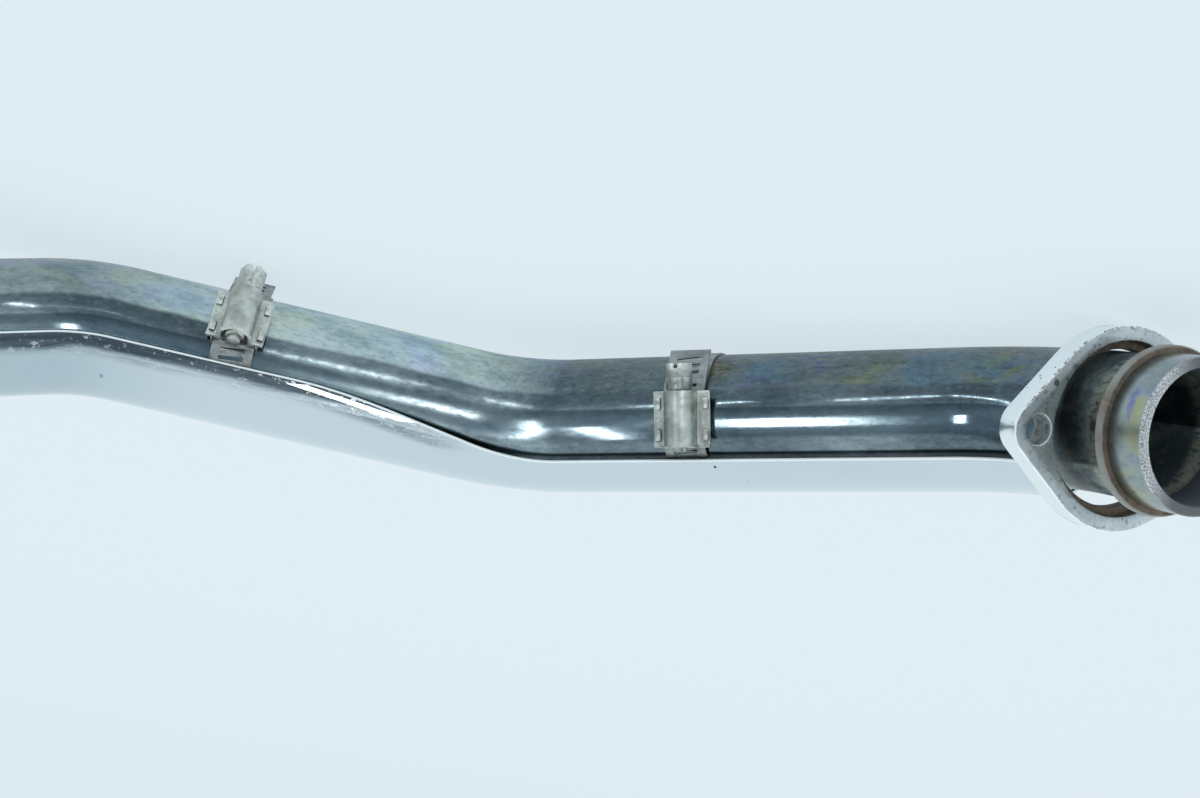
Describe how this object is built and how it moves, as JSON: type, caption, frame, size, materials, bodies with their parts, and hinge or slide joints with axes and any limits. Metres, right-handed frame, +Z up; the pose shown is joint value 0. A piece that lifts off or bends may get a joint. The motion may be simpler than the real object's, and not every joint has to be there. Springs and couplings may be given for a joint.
{
  "type": "motorcycle exhaust header",
  "caption": "Bent steel motorcycle exhaust header with a sliding two-bolt port flange and a bright heat shield held by worm-drive clamps.",
  "frame": {"origin": "middle of the footprint on the table, at the table's height", "axes": "+Z up from the table the header lies on; +X runs from the port towards the outlet; +Y points away from the side with the clamp screws"},
  "size_m": [0.5246, 0.2272, 0.095],
  "materials": {
    "pipe_chrome": "old chrome, heat tinted blue, violet and straw, with small brown stains",
    "spigot_steel": "turned steel with heat tints and a bright pitted end face",
    "rusted_ring": "brown rust over steel, with a greyer rim",
    "flange_plate": "worn plated steel, speckled and pitted, rusty in the bore",
    "shield_chrome": "bright mirror chrome with a few small pits",
    "clip_steel": "dull sheet steel",
    "clamp_band": "dull satin stainless strip with light pitting",
    "clamp_body": "dull, slightly warm zinc plate with dark pits",
    "worm_steel": "dull zinc plate on a hexagon-headed screw"
  },
  "bodies": {
    "header": {"header_pipe": "pipe_chrome", "header_pipe_port": "pipe_chrome", "header_pipe_outlet": "pipe_chrome", "port_spigot": "spigot_steel", "retaining_ring": "rusted_ring", "heat_shield": "shield_chrome", "clip_1": "clip_steel", "clip_2": "clip_steel", "band_1": "clamp_band", "band_2": "clamp_band", "saddle_1": "clamp_body", "saddle_2": "clamp_body", "housing_1": "clamp_body", "housing_2": "clamp_body", "worm_screw_1": "worm_steel", "worm_screw_2": "worm_steel"},
    "flange": {"port_flange": "flange_plate"}
  },
  "joints": [
    {"name": "flange_slide", "type": "slide", "parent": "header", "child": "flange", "axis": [-0.7421, -0.6312, 0.2255], "range_m": [0, 0.01862]}
  ]
}
